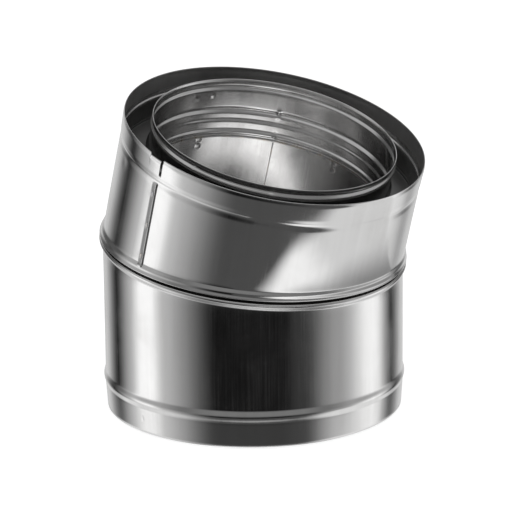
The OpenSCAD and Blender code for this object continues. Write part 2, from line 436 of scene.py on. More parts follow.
def weld_metal(name):
    """Dull, heat-marked weld metal with straw and blue tints."""
    material, g = new_material(name)
    solid = g.add("ShaderNodeTexCoord").outputs["Object"]
    patch = g.noise(solid, 160.0, 4.0, 0.6)
    grit = g.noise(solid, 1400.0, 3.0, 0.6)
    heat = g.mix(g.remap(patch, 0.35, 0.65),
                 (0.46, 0.40, 0.33, 1.0), (0.36, 0.38, 0.42, 1.0))
    colour = g.mix(g.remap(grit, 0.4, 0.7, 0.0, 0.6), heat, grey(0.56))
    shader = g.add("ShaderNodeBsdfPrincipled", {
        "Base Color": colour, "Metallic": 1.0,
        "Roughness": g.remap(patch, 0.3, 0.7, 0.24, 0.42),
        "Normal": g.bump(grit, 0.4, 0.0001)})
    g.finish(shader)
    return material


def wool(name):
    """Bonded mineral wool: matted fibres in tan and brown."""
    material, g = new_material(name)
    solid = g.add("ShaderNodeTexCoord").outputs["Object"]
    warp = g.noise(solid, 60.0, 3.0)
    fibre_a = g.noise(g.scaled(solid, (1.0, 1.0, 9.0)), 420.0, 4.0, 0.65, 1.5)
    fibre_b = g.noise(g.scaled(solid, (8.0, 1.0, 1.5)), 300.0, 4.0, 0.65, 1.2)
    fibres = g.math("MULTIPLY", fibre_a, fibre_b)
    base = g.mix(g.remap(warp, 0.35, 0.65),
                 (0.42, 0.33, 0.17, 1.0), (0.30, 0.24, 0.13, 1.0))
    colour = g.mix(g.remap(fibres, 0.15, 0.4), base,
                   (0.58, 0.49, 0.30, 1.0))
    height = g.math("ADD", fibres, g.math("MULTIPLY", warp, 0.6))
    shader = g.add("ShaderNodeBsdfPrincipled", {
        "Base Color": colour, "Roughness": g.remap(fibres, 0.1, 0.5, 0.95, 0.8),
        "Normal": g.bump(height, 0.9, 0.0012)})
    g.finish(shader)
    return material


CASING_STEEL = steel("casing_sheet", 0.64, 0.13, scratches=0.15)
LINER_STEEL = steel("liner_sheet", 0.64, 0.14, grain=0.03, scratches=0.1,
                    bump=0.0015)
# The end rings' sheet is given a dark tone, 0.2, as painted shade for the gap
# where they sit.
RING_STEEL_SHADED = steel("ring_sheet_painted_shade", 0.2, 0.4, grain=0.05, smudge=0.12,
                   flat_uv=False)
BRACKET_STEEL = steel("bracket_sheet", 0.46, 0.34, smudge=0.14, flat_uv=False)
WELD = weld_metal("weld_metal")
WOOL = wool("mineral_wool")

# ------------------------------ dents
RNG = np.random.default_rng(7)


def spot_dent(direction, level, radius, depth, size=SPOT_R):
    """A pressed spot: a shallow dish with a soft raised rim."""
    def dent(az, z, design):
        across = radians(1) * radius * turn(az, direction)
        d = np.hypot(across, z - level) / size
        lip = 0.3 * depth * np.exp(-((d - 1.3) ** 2) * 9)
        return -depth * np.exp(-(d ** 4)) + lip, 0.0
    return dent


def soft_dent(direction, level, radius, depth, size):
    """A broad, soft dent from handling."""
    def dent(az, z, design):
        across = radians(1) * radius * turn(az, direction)
        d = np.hypot(across, z - level) / size
        return -depth * np.exp(-d ** 2), 0.0
    return dent


def lap_step(seam, z0, z1):
    """The lapped sheet end: it slopes out over the lap, ends at the seam and
    the sheet below dips beside it."""
    def dent(az, z, design):
        back = turn(seam, az)
        over = np.clip(1 - back / LAP_REACH, 0, 1) * (back >= -1e-4)
        rise = LAP_LIFT * np.where(over > 0.12, over - 0.06, over * over / 0.24)
        dip = -LAP_SINK * np.clip(1 + back / SEAM_DIP, 0, 1) * (back < -1e-4)
        fade = step(design, z0, z0 + 1.5) * (1 - step(design, z1 - 1.5, z1))
        return (rise + dip) * fade, 0.0
    return dent


WAVES = ((2, 0.9), (3, 0.6), (5, 0.35), (9, 0.16))


def waviness(level, amount):
    """Slight out-of-round of hand-worked sheet: WAVES (lobes, size) times
    amount, and times level(z)."""
    phases = RNG.uniform(0, 2 * pi, len(WAVES))
    tilts = RNG.uniform(-0.012, 0.012, len(WAVES))

    def dent(az, z, design):
        total = 0.0 * az
        for (k, size), phase, tilt in zip(WAVES, phases, tilts):
            total = total + size * np.sin(np.radians(az) * k + phase + tilt * z)
        return amount * total * level(design), 0.0
    return dent


# ------------------------------ casing
lower_share = share(BEAD_TOP + 2, LOWER_H - RIB_DOWN - 4)
upper_share = share(Z_GROOVE - 2, RIB_UP + 3)


def rib_rows(steps):
    """Rows (radius, distance from the mitre) of a rib from its steps, which
    are (distance from the mitre, share of the rib's full height)."""
    return [(CASING_R + RIB_OUT * h, d) for d, h in steps]


LOWER_RIB = [(8.0, 0.0), (7.5, 0.012), (7.0, 0.06), (6.5, 0.16), (6.0, 0.31),
             (5.5, 0.48), (5.0, 0.64), (4.5, 0.78), (4.0, 0.89), (3.5, 0.965),
             (3.0, 0.985), (2.5, 0.975), (2.0, 0.93), (1.6, 0.85), (1.3, 0.72),
             (1.15, 0.45), (1.0, 0.05), (0.8, -0.15), (0.01, -0.18)]
UPPER_RIB = [(9.5, 0.0), (9.0, 0.02), (8.5, 0.075), (8.0, 0.165), (7.5, 0.28),
             (7.0, 0.39), (6.5, 0.48), (6.0, 0.54), (5.5, 0.58), (5.0, 0.605),
             (4.5, 0.63), (4.0, 0.67), (3.5, 0.73), (3.0, 0.81), (2.5, 0.895),
             (2.0, 0.965), (1.7, 0.98), (1.45, 0.9), (1.3, 0.7), (1.15, 0.35),
             (1.0, 0.0), (0.8, -0.15), (0.01, -0.18)]

RIM_TURN = 3.5
lower_rows = (
    run(SKIRT_R - SKIRT_LEAN, 0.22, SKIRT_R + SKIRT_LEAN, SKIRT_EDGE, 10)
    + ease(SKIRT_R + SKIRT_LEAN, SKIRT_EDGE, CREST_R, CREST_Z, 14)
    + ease(CREST_R, CREST_Z, CASING_R, BEAD_TOP, 14)
    + run(CASING_R, BEAD_TOP, CASING_R, LOWER_H - RIB_DOWN - 2, 27)
    + [(r, LOWER_H - d) for r, d in rib_rows(LOWER_RIB)])
upper_rows = (
    rib_rows(UPPER_RIB)[::-1]
    + run(CASING_R, RIB_UP + 2, CASING_R, Z_GROOVE, 34)
    + ease(CASING_R, Z_GROOVE, CASING_R - GROOVE_IN, GROOVE_LOW, 10)
    + ease(CASING_R - GROOVE_IN, GROOVE_LOW, LIP_R, LIP_Z, 9)
    + run(LIP_R, LIP_Z, COLLAR_R - COLLAR_LEAN, COLLAR_Z, 4)
    + run(COLLAR_R - COLLAR_LEAN, COLLAR_Z, COLLAR_R, UPPER_H - RIM_TURN, 12)
    + [(COLLAR_R - 0.3 * step(t, 0, 1),
        UPPER_H - RIM_TURN + (RIM_TURN - 0.22) * t)
       for t in np.linspace(0, 1, 7)])

# the collar's seam is open between the groove and the rim, and the rim is cut
# back beside it
SLOT_A0, SLOT_A1 = SEAM_UP + 0.15, SEAM_UP + 1.35
CUT_A0, CUT_DROP = SEAM_UP - 6.0, 2.0


def rim_cut(az, z, design):
    """Rim cut back between the seam and a corner 13 mm behind it."""
    inside = step(turn(az, CUT_A0), -0.12, 0.12) * (
        1 - step(turn(az, SLOT_A1), -0.05, 0.05))
    lower = step(design, UPPER_H - 14, UPPER_H - 1) * CUT_DROP
    return 0.0, -inside * lower


def seam_columns(seam):
    """Fine directions across the lap and the dip beside it."""
    return ([seam - LAP_REACH * t for t in np.linspace(0, 1, 9)] + [seam + 0.05]
            + [seam + SEAM_DIP * t for t in (0.5, 0.9, 1.0, 1.15)])


SKIRT_SPOT = -93.9
lower_dents = [
    lap_step(SEAM_DOWN, BEAD_TOP + 2, LOWER_H - RIB_DOWN + 2),
    waviness(lambda z: step(z, 34, 60) * (1 - step(z, 100, 128)), 0.05),
    spot_dent(SKIRT_SPOT, 12.3, CASING_R, 0.22, 1.5),
]
for level in LAP_SPOTS_DOWN:
    lower_dents.append(spot_dent(SEAM_DOWN - LAP_DEG / 2, level, CASING_R, 0.2))

upper_dents = [
    lap_step(SEAM_UP, RIB_UP - 3.5, Z_GROOVE + 4),
    waviness(lambda z: step(z, 12, 30) * (1 - step(z, 58, 76)), 0.06),
    soft_dent(-118, 73, CASING_R, 0.25, 4.5),
    rim_cut,
]
for level in LAP_SPOTS_UP:
    upper_dents.append(spot_dent(SEAM_UP - LAP_DEG / 2, level, CASING_R, 0.2))

# Both casing shells get painted shade, a near-black colour, along the mitre
# groove; the upper one also in the gap below its inner ridge.
shell("casing_lower_sheet", lower_rows,
      columns(SEAM_DOWN, seam_columns(SEAM_DOWN) + around(SKIRT_SPOT, 1.6, 9)),
      lower_leg, CASING_STEEL, "casing_lower",
      follow=lower_share, dents=lower_dents, cap=(True, False), dull_above=0.0,
      painted_shade_at=LOWER_H)
shell("casing_upper_sheet", upper_rows,
      columns(SEAM_UP + 2.0, seam_columns(SEAM_UP)
              + [SLOT_A0, SLOT_A1, SLOT_A1 - 0.2, SLOT_A1 + 0.08,
                 CUT_A0 - 0.12, CUT_A0 - 0.04, CUT_A0 + 0.04, CUT_A0 + 0.12]),
      upper_leg, CASING_STEEL, "casing_upper",
      follow=upper_share, dents=upper_dents, cap=(False, True),
      dull_above=COLLAR_Z + 0.5, painted_shade_at=0.0, ridge=INNER_RIDGE,
      slot_cut=(COLLAR_Z + 1.0, SLOT_A0, SLOT_A1))

# ------------------------------ liner
spigot_rows = (
    [(LINER_R - 0.5 * (1 - step(t, 0, 1)), SPIGOT_SET + 0.22 + 3.0 * t)
     for t in np.linspace(0, 1, 6)]
    + run(LINER_R, SPIGOT_SET + 4.2, LINER_R, SPIGOT_SET + 23, 8)
    + bead(LINER_R, SPIGOT_SET + 24, 8, -1.2, 16)
    + run(LINER_R, SPIGOT_SET + 33, LINER_R, SPIGOT_TOP, 4)
    + [(LINER_R, SPIGOT_TOP)])
spot_levels_down = [RING_DOWN + RING_T + BRACKET_L - SPOT_R - 1 - SPOT_PITCH * i
                    for i in (0, 1)]
spot_levels_up = [RING_UP - RING_T - BRACKET_L + SPOT_R + 1 + SPOT_PITCH * i
                  for i in (0, 1)]


def spots(levels):
    """The dimples of the bracket spots, as seen on the liner."""
    return [spot_dent(d, level, LINER_R, 0.15)
            for d in BRACKET_DIRS for level in levels]


def liner_levels(low, high, count, spot_levels):
    """Levels of a plain liner tube, finer at its spots."""
    fine = [v for level in spot_levels for v in around(level, 3.6, 11)]
    return sorted({round(v, 3) for v in [*np.linspace(low, high, count), *fine]})


spot_columns = [a for d in BRACKET_DIRS for a in around(d, 2.2, 11)]
liner_low_levels = liner_levels(SPIGOT_TOP, LOWER_H - 0.1, 44, spot_levels_down)
liner_up_levels = liner_levels(0.1, SOCKET_Z, 34, spot_levels_up)

shell("liner_lower_sheet", [(LINER_R, z) for z in liner_low_levels],
      columns(LINER_SEAM_DOWN, spot_columns), lower_leg, LINER_STEEL,
      "liner_lower", follow=share(62, LOWER_H - 6),
      dents=spots(spot_levels_down)
      + [waviness(lambda z: step(z, 46, 70), 0.04)], cap=(False, False))
shell("liner_upper_sheet", [(LINER_R, z) for z in liner_up_levels],
      columns(LINER_SEAM, spot_columns), upper_leg, LINER_STEEL,
      "liner_upper", follow=share(36, 3),
      dents=spots(spot_levels_up)
      + [waviness(lambda z: step(z, 2, 14) * (1 - step(z, 30, 48)), 0.05)],
      cap=(False, False))
shell("liner_spigot_sheet", spigot_rows, columns(LINER_SEAM_DOWN),
      lower_leg, LINER_STEEL, "liner_spigot", cap=(True, False))


def seam_pinch(direction, levels, radius, depth=0.55, width=1.5, height=2.6):
    """Where the seam crosses a bead, the bead is pinched flat."""
    def dent(az, z, design):
        across = radians(1) * radius * turn(az, direction)
        total = 0.0 * az
        for level, sign in levels:
            d = np.hypot(across / width, (z - level) / height)
            total = total + sign * depth * np.exp(-d ** 2)
        return total, 0.0
    return dent


socket_rows = (
    run(LINER_R, SOCKET_Z, LINER_R, SOCKET_Z + 1.5, 3)
    + bead(LINER_R, SOCKET_Z + 1.5, 6, -1.6, 16)
    + run(LINER_R, SOCKET_Z + 8.2, LINER_R, RING_UP + 0.5, 5)
    + [(LINER_R + (SOCKET_R - LINER_R) * step(t, 0, 1), RING_UP + 0.5 + 3.0 * t)
       for t in np.linspace(0, 1, 8)][:-1]
    + run(SOCKET_R, RING_UP + 3.5, SOCKET_R, UPPER_H - SOCKET_D - 7, 5)
    + bead(SOCKET_R, UPPER_H - SOCKET_D - 7, 7, 2.0, 20)
    + run(SOCKET_R, UPPER_H - SOCKET_D + 0.8, SOCKET_R, UPPER_H - 11.2, 9)
    + bead(SOCKET_R, UPPER_H - 10.5, 5.8, 1.6, 20)
    + run(SOCKET_R, UPPER_H - 4.1, SOCKET_R, UPPER_H - 3, 2)
    + [(SOCKET_R + 0.8 * step(t, 0, 1.35) * 1.2, UPPER_H - 3 + 2.78 * t)
       for t in np.linspace(0, 1, 7)])
# small marks on the socket (direction, level), and a dent in its upper bead
SOCKET_MARKS = [(104.9, 76.4), (164, 88), (173.4, 87)]
BEAD_DENT = -46.7
socket_dents = [
    seam_pinch(LINER_SEAM,
               [(UPPER_H - SOCKET_D - 3.5, -2.2), (SOCKET_Z + 4.5, 1.7)], LINER_R),
    *(spot_dent(d, level, LINER_R, 0.25, 1.8) for d, level in SOCKET_MARKS),
    soft_dent(114.4, 88.5, LINER_R, 0.16, 6.0),
    seam_pinch(BEAD_DENT, [(UPPER_H - 7.5, 0.9)], SOCKET_R, width=2.4),
]
shell("liner_socket_sheet", socket_rows,
      columns(LINER_SEAM + 1.5, around(LINER_SEAM, 1.4, 9)
              + [a for d, _ in SOCKET_MARKS for a in around(d, 1.8, 7)]
              + around(BEAD_DENT, 2.4, 9)),
      upper_leg, LINER_STEEL, "liner_socket",
      dents=socket_dents, cap=(False, True))

# ------------------------------ wool
WOOL_GAP = 0.15


def wool_ring(name, leg, z_face, follow, node):
    """A matted ring of wool between liner and casing, with a lumpy face and
    pockets where the brackets stand."""
    pocket = BRACKET_A / 2 + 1
    cols = columns(0.0, [d + s * (pocket + e) for d in BRACKET_DIRS
                         for s in (-1, 1) for e in (0.0, 0.25)], 240)
    r_in, r_out = LINER_R + WOOL_GAP, CASING_R - SHEET - WOOL_GAP
    z_mitre = LOWER_H if leg is lower_leg else 0.0
    along, across = np.linspace(0, 1, 22), np.linspace(0, 1, 9)[1:-1]
    rows = np.array(
        [(r_out, z_face + (z_mitre - z_face) * t) for t in along]
        + [(r_out + (r_in - r_out) * t, z_mitre) for t in across]
        + [(r_in, z_mitre + (z_face - z_mitre) * t) for t in along]
        + [(r_in + (r_out - r_in) * t, z_face) for t in across])
    k, n = len(rows), len(cols)
    az = np.repeat(cols[None, :], k, axis=0)
    R = np.repeat(rows[:, :1], n, axis=1)
    Z = np.repeat(rows[:, 1:], n, axis=1)
    in_pocket = np.zeros_like(az)
    for d in BRACKET_DIRS:
        beside = step(np.abs(turn(az, d)), pocket, pocket + 0.25)
        in_pocket = np.maximum(in_pocket, 1 - beside)
    # the face sinks where a bracket stands, and the rest follows the mitre
    toward = (Z - z_face) / (z_mitre - z_face)
    sink = (BRACKET_L + 2) / abs(z_mitre - z_face)
    toward = toward + in_pocket * sink * (1 - toward)
    Z = z_face + (z_mitre - z_face) * toward
    sign = slope_sign(leg)
    Z = Z + follow(Z) * sign * MITRE_SLOPE * R * np.cos(np.radians(az))
    lumps = RNG.normal(0, 1, (k, n))
    for _ in range(3):
        lumps = (lumps + np.roll(lumps, 1, 0) + np.roll(lumps, -1, 0)
                 + np.roll(lumps, 1, 1) + np.roll(lumps, -1, 1)) / 5
    middle = 1 - np.abs((R - (r_in + r_out) / 2) / ((r_out - r_in) / 2))
    on_face = np.abs(toward - in_pocket * sink) < 0.02
    matted = 0.6 * lumps * middle - 0.4 * middle
    Z = Z + sign * np.where(on_face, matted, 0.0)
    faces = ring_faces(k, n)
    if leg is upper_leg:
        faces = [f[::-1] for f in faces]
    return make_piece(name, polar_points(R, az, Z), faces, leg, WOOL, [node])


wool_ring("wool_lower", lower_leg, RING_DOWN + RING_T,
          share(RING_DOWN + BRACKET_L + 6, LOWER_H - 2), "insulation_lower")
wool_ring("wool_upper", upper_leg, RING_UP - RING_T,
          share(RING_UP - BRACKET_L - 6, 2.0), "insulation_upper")


# ------------------------------ end rings
def sheet_section(path, thick, n_round=4):
    """Closed section of a bent sheet along path, with rounded ends."""
    path = np.asarray(path, dtype=float)
    tangent = np.gradient(path, axis=0)
    tangent /= np.linalg.norm(tangent, axis=1)[:, None]
    normal = np.stack([-tangent[:, 1], tangent[:, 0]], axis=1)
    half = thick / 2
    left, right = path + normal * half, path - normal * half

    def cap(centre, t, nrm, sign):
        return [centre + half * (nrm * cos(a) + sign * t * sin(a) * 0.6)
                for a in np.linspace(0, pi, n_round + 2)[1:-1]]

    end = cap(path[-1], tangent[-1], normal[-1], 1)
    start = cap(path[0], tangent[0], -normal[0], -1)
    return np.array(list(left) + end + list(right[::-1]) + start)


def bend_path(points, radius, n=6):
    """A path through points with its corners rounded to radius."""
    points = [np.asarray(p, dtype=float) for p in points]
    path = [points[0]]
    for a, b, c in zip(points[:-2], points[1:-1], points[2:]):
        u, v = (a - b) / np.linalg.norm(a - b), (c - b) / np.linalg.norm(c - b)
        p, q = b + u * radius, b + v * radius
        path += [(1 - t) ** 2 * p + 2 * t * (1 - t) * b + t * t * q
                 for t in np.linspace(0, 1, n)]
    return np.array(path + [points[-1]])


def end_ring(name, leg, corners, node):
    """A closed ring of bent sheet, turned from the path through corners."""
    loop = sheet_section(bend_path(corners, 1.2), RING_T)
    cols = columns(0.0, count=240)
    faces = ring_faces(len(loop), len(cols))
    area = np.sum(loop[:, 0] * np.roll(loop[:, 1], -1)
                  - np.roll(loop[:, 0], -1) * loop[:, 1])
    if area <= 0:
        faces = [f[::-1] for f in faces]
    points = polar_points(loop[:, :1], cols[None, :], loop[:, 1:])
    return make_piece(name, points, faces, leg, RING_STEEL_SHADED, [node])


H = RING_T / 2
ring_out_low = CASING_R - SHEET - SKIRT_IN - H
ring_out_up = CASING_R - SHEET - H
end_ring("end_ring_lower_sheet", lower_leg,
         [(LINER_R + H * 0.6, RING_DOWN + H), (ring_out_low, RING_DOWN + H),
          (ring_out_low, RING_DOWN + RING_T - 4)], "end_ring_lower")
end_ring("end_ring_upper_sheet", upper_leg,
         [(LINER_R + H * 0.6, RING_UP - H), (ring_out_up, RING_UP - H),
          (ring_out_up, RING_UP - RING_T + 3)], "end_ring_upper")


# ------------------------------ brackets
def bracket(name, leg, direction, level, sign, node):
    """Z bracket of bent strip: foot on the liner, web, foot on the casing."""
    r_in, r_out = LINER_R + H, CASING_R - SHEET - H
    path = bend_path([(r_in, level - sign * (BRACKET_L - 0.3)),
                      (r_in, level - sign * H), (r_out, level - sign * H),
                      (r_out, level - sign * (BRACKET_L / 2 - 0.3))], 1.6)
    section = sheet_section(path, RING_T)
    k = len(section)
    centre = section.mean(axis=0)
    half = BRACKET_A / 2
    stations = [-half, -half + 0.12, -half + 0.4] + list(
        np.linspace(-half + 1, half - 1, 9)) + [half - 0.4, half - 0.12, half]
    pts = []
    for s in stations:
        shrink = 0.06 if abs(abs(s) - half) < 1e-6 else 0.0
        for r, z in section:
            # a stiffening crease runs along the middle of the web
            web = step(r, LINER_R + 5, LINER_R + 9) * (
                1 - step(r, CASING_R - 11, CASING_R - 7))
            crease = -sign * 0.7 * web * np.exp(-(s / 1.1) ** 2)
            a = radians(direction + s)
            rr = r + shrink * np.sign(centre[0] - r)
            pts.append((rr * cos(a), rr * sin(a), z + crease))
    faces = []
    for i in range(len(stations) - 1):
        for j in range(k):
            j2 = (j + 1) % k
            faces.append((i * k + j2, (i + 1) * k + j2, (i + 1) * k + j,
                          i * k + j))
    # strip ends: quads across the sheet between its two sides
    m = len(path)
    last = (len(stations) - 1) * k
    for base, flip in ((0, False), (last, True)):
        left = [base + t for t in range(m)]
        right = [base + m + 4 + t for t in range(m)][::-1]
        for t in range(m - 1):
            f = (left[t], left[t + 1], right[t + 1], right[t])
            faces.append(f if flip else f[::-1])
        end = tuple(base + t for t in range(m - 1, m + 5))
        start = tuple(base + t % k for t in range(2 * m + 3, 2 * m + 9))
        for f in (end, start):
            faces.append(f[::-1] if not flip else f)
    return make_piece(name, pts, faces, leg, BRACKET_STEEL, [node])


for number, direction in enumerate(BRACKET_DIRS, 1):
    bracket(f"bracket_strip_lower_{number}", lower_leg, direction,
            RING_DOWN + RING_T, -1, f"bracket_lower_{number}")
    bracket(f"bracket_strip_upper_{number}", upper_leg, direction,
            RING_UP - RING_T, 1, f"bracket_upper_{number}")


# ------------------------------ welds
def spot_buttons(name, leg, places, radius, outward, node, height=0.16):
    """Low round weld buttons on a wall: dished in the middle."""
    profile = [(0.0, 0.35), (0.3, 0.4), (0.5, 0.62), (0.68, 0.95), (0.82, 0.9),
               (0.93, 0.55), (1.0, 0.0)]
    sides = 24
    pts, faces = [], []
    for direction, level in places:
        base = len(pts)
        a = radians(direction)
        out = np.array([cos(a), sin(a), 0.0])
        side = np.array([-sin(a), cos(a), 0.0])
        for share, lift in profile:
            for t in range(sides if share else 1):
                b = 2 * pi * t / sides
                across, up = SPOT_R * share * cos(b), SPOT_R * share * sin(b)
                wall = sqrt(max(radius ** 2 - across ** 2, 0.0))
                reach = wall + outward * (height * lift - 0.04)
                pts.append(out * reach + side * across
                           + np.array([0, 0, level + up]))
        rings = [base] + [base + 1 + sides * i for i in range(len(profile) - 1)]
        back = len(pts)
        pts.append(out * (radius - outward * 0.12) + np.array([0, 0, level]))
        flip = outward < 0
        for t in range(sides):
            t2 = (t + 1) % sides
            mine = [(rings[0], rings[1] + t, rings[1] + t2)]
            for i in range(1, len(profile) - 1):
                mine.append((rings[i] + t, rings[i + 1] + t, rings[i + 1] + t2,
                             rings[i] + t2))
            mine.append((rings[-1] + t, back, rings[-1] + t2))
            faces += [f[::-1] if flip else f for f in mine]
    return make_piece(name, pts, faces, leg, WELD, [node])


spot_buttons("spot_buttons_lower", lower_leg,
             [(d, level) for d in BRACKET_DIRS for level in spot_levels_down],
             LINER_R - SHEET, -1, "bracket_welds_lower")
spot_buttons("spot_buttons_upper", upper_leg,
             [(d, level) for d in BRACKET_DIRS for level in spot_levels_up],
             LINER_R - SHEET, -1, "bracket_welds_upper")
spot_buttons("lap_buttons_lower", lower_leg,
             [(SEAM_DOWN - LAP_DEG / 2, level) for level in LAP_SPOTS_DOWN],
             CASING_R + 0.32, 1, "casing_welds_lower", 0.22)
spot_buttons("lap_buttons_upper", upper_leg,
             [(SEAM_UP - LAP_DEG / 2, level) for level in LAP_SPOTS_UP],
             CASING_R + 0.32, 1, "casing_welds_upper", 0.22)


def rippled(name, centre_line, normal, width, height, leg, node, closed):
    """A weld run along centre_line: a low crown with small ripples."""
    line = np.asarray(centre_line, dtype=float)
    normal = np.asarray(normal, dtype=float)
    n = len(line)
    if closed:
        tangent = np.roll(line, -1, 0) - np.roll(line, 1, 0)
    else:
        tangent = np.gradient(line, axis=0)
    tangent /= np.linalg.norm(tangent, axis=1)[:, None]
    side = np.cross(tangent, normal)
    shape = [(-1.0, -0.15), (-0.8, 0.35), (-0.45, 0.8), (0.0, 1.0), (0.45, 0.8),
             (0.8, 0.35), (1.0, -0.15)]
    k = len(shape)
    pts = np.zeros((n, k, 3))
    wave = np.arange(n)
    ripple = 1 + 0.14 * np.sin(wave * 2 * pi / 3) + 0.05 * RNG.normal(0, 1, n)
    wander = 1 + 0.08 * np.sin(wave * 0.37)
    for i, (x, y) in enumerate(shape):
        crown = y * height * (ripple if y > 0 else np.ones(n))
        pts[:, i] = (line + side * (x * width / 2 * wander)[:, None]
                     + normal * crown[:, None])
    pts = pts.reshape(-1, 3)
    faces = []
    for j in range(n if closed else n - 1):
        j2 = (j + 1) % n
        for i in range(k):
            i2 = (i + 1) % k
            faces.append((j * k + i, j * k + i2, j2 * k + i2, j2 * k + i))
    if not closed:
        faces.append(tuple(range(k))[::-1])
        faces.append(tuple((n - 1) * k + i for i in range(k)))
    return make_piece(name, pts, faces, leg, WELD, [node])


WELD_R = LINER_R - SHEET + 0.02


def circle_run(radius, level):
    """A closed line round the axis, with level(angle), and its angles."""
    a = np.linspace(0, 2 * pi, 420, endpoint=False)
    return np.stack([radius * np.cos(a), radius * np.sin(a), level(a)], -1), a


def inner_weld(name, leg, level, node):
    """A weld round the inside of the liner at a level."""
    line, a = circle_run(WELD_R, lambda t: level + 0 * t)
    inward = np.stack([-np.cos(a), -np.sin(a), 0 * a], -1)
    rippled(name, line, inward, 2.3, 0.26, leg, node, True)


inner_weld("spigot_weld_run", lower_leg, SPIGOT_TOP, "spigot_weld")
inner_weld("socket_weld_run", upper_leg, SOCKET_Z, "socket_weld")

MITRE_WELD_R = LINER_R + 0.1
line, a = circle_run(MITRE_WELD_R, lambda t: (
    LOWER_H - 1.5 - MITRE_SLOPE * MITRE_WELD_R * np.cos(t)))
rippled("mitre_weld_run", line, np.stack([np.cos(a), np.sin(a), 0 * a], -1),
        2.8, 1.2, lower_leg, "liner_mitre_weld", True)


def seam_run(name, leg, direction, z0, z1, node):
    """The liner's seam weld, along the inside from level z0 to z1."""
    a = radians(direction)
    z = np.linspace(z0, z1, 90)
    line = np.stack([WELD_R * cos(a) + 0 * z, WELD_R * sin(a) + 0 * z, z], -1)
    inward = np.tile([-cos(a), -sin(a), 0.0], (len(z), 1))
    rippled(name, line, inward, 1.5, 0.1, leg, node, False)


def mitre_rise(direction):
    """Rise of the mitre above the axis on the inside of the liner."""
    return MITRE_SLOPE * (LINER_R - SHEET) * cos(radians(direction))


seam_run("liner_seam_run_lower", lower_leg, LINER_SEAM_DOWN, SPIGOT_TOP + 1.4,
         LOWER_H - mitre_rise(LINER_SEAM_DOWN) - 0.2, "liner_seam_lower")
seam_run("liner_seam_run_upper", upper_leg, LINER_SEAM,
         mitre_rise(LINER_SEAM) + 0.2, SOCKET_Z - 1.4, "liner_seam_upper")

# ------------------------------ camera
# The photo's view, fitted to its outline with the bend held at 15 degrees.
CAM_AZ, CAM_EL, CAM_ROLL = 43.59, 16.90, 0.63
CAM_TARGET = Vector((0.0, 0.0, 0.1125))
CAM_DISTANCE = 2.7919
CAM_LENS, CAM_SENSOR = 234.9, 36.0
AIM_RIGHT, AIM_UP = 0.00237, 0.01197
az, el, roll = radians(CAM_AZ), radians(CAM_EL), radians(CAM_ROLL)
forward = Vector((-sin(az) * cos(el), cos(az) * cos(el), -sin(el)))
right = Vector((cos(az), sin(az), 0.0))
up = right.cross(forward)
place = CAM_TARGET - forward * CAM_DISTANCE
rolled_right = right * cos(roll) - up * sin(roll)
rolled_up = up * cos(roll) + right * sin(roll)
aim = CAM_TARGET + rolled_right * AIM_RIGHT + rolled_up * AIM_UP
look = (aim - place).normalized()
side = look.cross(rolled_up).normalized()
top = side.cross(look)
camera_data = bpy.data.cameras.new("camera")
camera_data.lens = CAM_LENS
camera_data.sensor_width = CAM_SENSOR
camera = bpy.data.objects.new("camera", camera_data)
basis = Matrix((side, top, -look)).transposed()
camera.matrix_world = Matrix.Translation(place) @ basis.to_4x4()
scene.collection.objects.link(camera)
scene.camera = camera

# ------------------------------ studio
# More than plain soft light: bright and dark panels by direction, set
# so that the light bands on the casing fall as in the photo. In degrees round
# from the camera side, + to the camera's right: (starts, full from, full to,
# ends, brightness)
WALL_PANELS = [(-132, -100, -86, -28, 0.8), (-108, -96, -86, -74, 0.68),
               (24, 32, 44, 52, 0.04), (44, 54, 60, 72, 0.12),
               (36, 106, 108, 133, 0.95), (76, 98, 106, 122, 0.42)]
FLOOR_PANELS = [(40, 75, 130, 150, 0.95), (-150, -130, -92, -30, 0.9)]
STEEP_PANELS = [(-72, -40, 40, 72, 0.67)]
HIGH_PANELS = [(-70, -40, 40, 70, 0.14), (-118, -104, -80, -50, 0.4),
               (50, 80, 110, 150, 0.35)]
# the paper backdrop behind the table: (starts, full from, brightness)
LOW_BACK, HIGH_BACK = (128, 158, 0.7), (145, 162, 0.6)
WALL_BASE, FLOOR_BASE, HIGH_BASE = 0.01, 0.1, 0.12
STEEP_BASE = 0.33
ZENITH = 0.6
# elevations in degrees over which one height band passes into the next
STEEP_TO_FLOOR, FLOOR_TO_WALL = (-64.0, -50.0), (-33.0, -19.5)
WALL_TO_HIGH, HIGH_TO_ZENITH = (-14.0, 12.0), (38.0, 52.0)


def between(g, value, a, b):
    """0 below a, 1 above b, smooth between."""
    node = g.add("ShaderNodeMapRange", {
        "Value": value, "From Min": a, "From Max": b},
        interpolation_type="SMOOTHSTEP")
    return node.outputs["Result"]


def panel_band(g, bearing, panels, base, back):
    """Brightness round one height band: its panels, its base and the paper
    backdrop behind the table."""
    total = g.math("MULTIPLY_ADD",
                   between(g, g.math("ABSOLUTE", bearing), back[0], back[1]),
                   back[2], base)
    for start, full_from, full_to, end, bright in panels:
        rise = between(g, bearing, start, full_from)
        fall = between(g, bearing, full_to, end)
        shape = g.math("SUBTRACT", rise, g.math("MULTIPLY", rise, fall))
        total = g.math("MULTIPLY_ADD", shape, bright, total)
    return total


